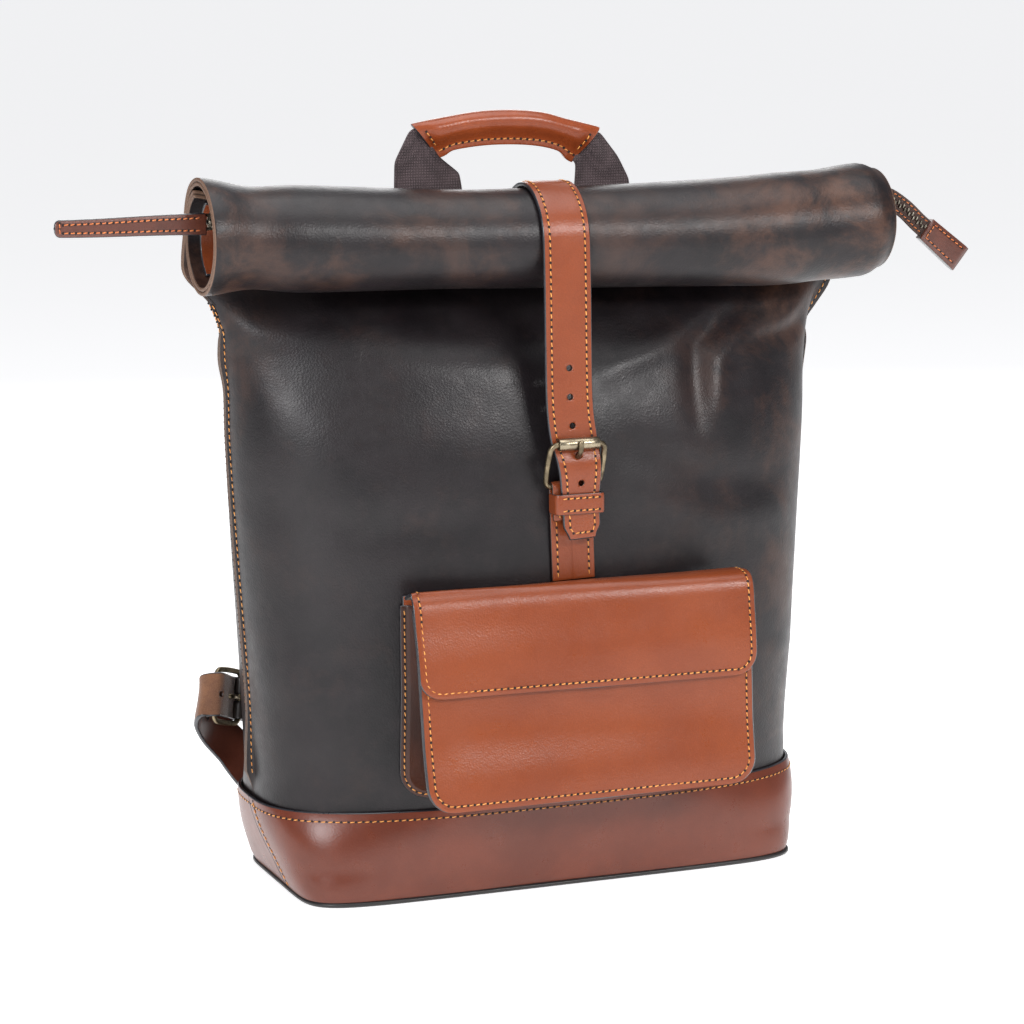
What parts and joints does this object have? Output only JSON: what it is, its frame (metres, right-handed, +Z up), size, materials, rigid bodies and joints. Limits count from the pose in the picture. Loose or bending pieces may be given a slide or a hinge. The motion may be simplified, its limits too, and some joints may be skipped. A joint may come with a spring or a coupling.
{
  "type": "leather backpack",
  "caption": "Roll-top leather backpack: rounded body on a tan base, one buckled closing strap, flap pocket, carry handle and two shoulder straps.",
  "frame": {"origin": "middle of the underside of the base, on the surface that the bag stands on", "axes": "+Z up, -Y to the front (the side with the pocket), +X to the right as the bag is seen from the front"},
  "size_m": [0.5728, 0.2354, 0.4585],
  "materials": {
    "dark_leather": "waxed pull-up leather, black-brown with reddish-brown worn patches, satin",
    "base_leather": "smooth red-brown leather, satin",
    "tan_leather": "smooth cognac leather with dark painted edges and golden-orange stitching",
    "grip_leather": "smooth cognac leather, hand-polished",
    "bottom": "black coated leather",
    "board": "plain fibre board",
    "lining": "dark woven cotton",
    "zip_tape": "dark brown woven tape",
    "zip_metal": "aged brass",
    "antique_brass": "antique brass, brushed and darkened in the hollows",
    "magnet": "nickel plated steel",
    "webbing": "dark brown ribbed nylon webbing",
    "strap_leather": "dark waxed leather over foam, stitched along its edges",
    "billet_leather": "tan leather, suede on its back, with black painted edges"
  },
  "bodies": {
    "bag": {"front_panel": "dark_leather", "back_panel": "dark_leather", "base_front": "base_leather", "base_back": "base_leather", "bottom_panel": "bottom", "bottom_board": "board", "lining": "lining", "roll_back_leather": "dark_leather", "roll_front_leather": "dark_leather", "mouth_band": "tan_leather", "zip_teeth": "zip_metal", "zip_tape_front": "zip_tape", "zip_tape_rear": "zip_tape", "back_yoke": "tan_leather", "closing_strap": "tan_leather", "buckle_chape": "tan_leather", "strap_keeper": "tan_leather", "pocket_gusset": "tan_leather", "pocket_front": "tan_leather", "pocket_magnet": "magnet", "flap_strip": "tan_leather", "handle_anchor_left": "webbing", "handle_anchor_right": "webbing", "left_strap_anchor": "billet_leather", "left_billet_anchor": "billet_leather", "right_strap_anchor": "billet_leather", "right_billet_anchor": "billet_leather"},
    "pocket_flap": {"pocket_flap": "tan_leather", "flap_magnet": "magnet"},
    "closing_buckle": {"closing_buckle_frame": "antique_brass"},
    "closing_prong": {"closing_buckle_prong": "antique_brass"},
    "closing_roller": {"closing_buckle_roller": "antique_brass"},
    "handle": {"handle_webbing": "webbing", "handle_grip": "grip_leather"},
    "zip_slider": {"zip_slider": "zip_metal"},
    "zip_pull": {"zip_pull": "zip_metal", "pull_tab": "tan_leather"},
    "zip_tail": {"tail_tape": "zip_tape", "tail_teeth": "zip_metal", "tail_cap": "tan_leather"},
    "left_strap": {"left_shoulder_strap": "strap_leather", "left_shoulder_billet": "billet_leather", "left_buckle_frame": "antique_brass", "left_shoulder_chape": "billet_leather", "left_strap_keeper": "billet_leather"},
    "left_prong": {"left_buckle_prong": "antique_brass"},
    "left_roller": {"left_buckle_roller": "antique_brass"},
    "right_strap": {"right_shoulder_strap": "strap_leather", "right_shoulder_billet": "billet_leather", "right_buckle_frame": "antique_brass", "right_shoulder_chape": "billet_leather", "right_strap_keeper": "billet_leather"},
    "right_prong": {"right_buckle_prong": "antique_brass"},
    "right_roller": {"right_buckle_roller": "antique_brass"}
  },
  "joints": [
    {"name": "pocket_flap_hinge", "type": "hinge", "parent": "bag", "child": "pocket_flap", "pos_m": [0.001, -0.088, 0.186], "axis": [-1, 0, 0], "range_deg": [0, 70]},
    {"name": "closing_buckle_tilt", "type": "hinge", "parent": "bag", "child": "closing_buckle", "pos_m": [0.002, -0.0869, 0.243], "axis": [1, 0, 0], "range_deg": [0, 3]},
    {"name": "closing_prong_lift", "type": "hinge", "parent": "closing_buckle", "child": "closing_prong", "pos_m": [0.002, -0.0869, 0.243], "axis": [1, 0, 0], "range_deg": [0, 4]},
    {"name": "closing_roller_spin", "type": "hinge", "parent": "closing_buckle", "child": "closing_roller", "pos_m": [0.002, -0.0971, 0.269], "axis": [1, 0, 0], "continuous": true},
    {"name": "handle_fall", "type": "hinge", "parent": "bag", "child": "handle", "pos_m": [0, -0.005, 0.366], "axis": [-1, 0, 0], "range_deg": [-3, 85]},
    {"name": "zip_slide", "type": "slide", "parent": "bag", "child": "zip_slider", "axis": [1, 0, 0], "range_m": [0, 0.39]},
    {"name": "zip_pull_swing", "type": "hinge", "parent": "zip_slider", "child": "zip_pull", "pos_m": [-0.2017, -0.0563, 0.402], "axis": [0, 1, 0], "range_deg": [-6, 6]},
    {"name": "zip_tail_lift", "type": "hinge", "parent": "bag", "child": "zip_tail", "pos_m": [0.2145, -0.054, 0.402], "axis": [0, -1, 0], "range_deg": [0, 50]},
    {"name": "left_strap_swing", "type": "hinge", "parent": "bag", "child": "left_strap", "pos_m": [-0.15, 0.061, 0.052], "axis": [-0.3726, 0.1317, -0.9186], "range_deg": [0, 15]},
    {"name": "left_prong_lift", "type": "hinge", "parent": "left_strap", "child": "left_prong", "pos_m": [-0.15864, 0.06523, 0.09943], "axis": [-0.1641, -0.2358, -0.9578], "range_deg": [0, 4]},
    {"name": "left_roller_spin", "type": "hinge", "parent": "left_strap", "child": "left_roller", "pos_m": [-0.1778, 0.0523, 0.1059], "axis": [0.1641, 0.2358, 0.9578], "continuous": true},
    {"name": "right_strap_swing", "type": "hinge", "parent": "bag", "child": "right_strap", "pos_m": [0.15, 0.061, 0.052], "axis": [-0.3726, -0.1317, 0.9186], "range_deg": [0, 15]},
    {"name": "right_prong_lift", "type": "hinge", "parent": "right_strap", "child": "right_prong", "pos_m": [0.15864, 0.06523, 0.09943], "axis": [-0.1641, 0.2358, 0.9578], "range_deg": [0, 4]},
    {"name": "right_roller_spin", "type": "hinge", "parent": "right_strap", "child": "right_roller", "pos_m": [0.1778, 0.0523, 0.1059], "axis": [0.1641, -0.2358, -0.9578], "continuous": true}
  ]
}
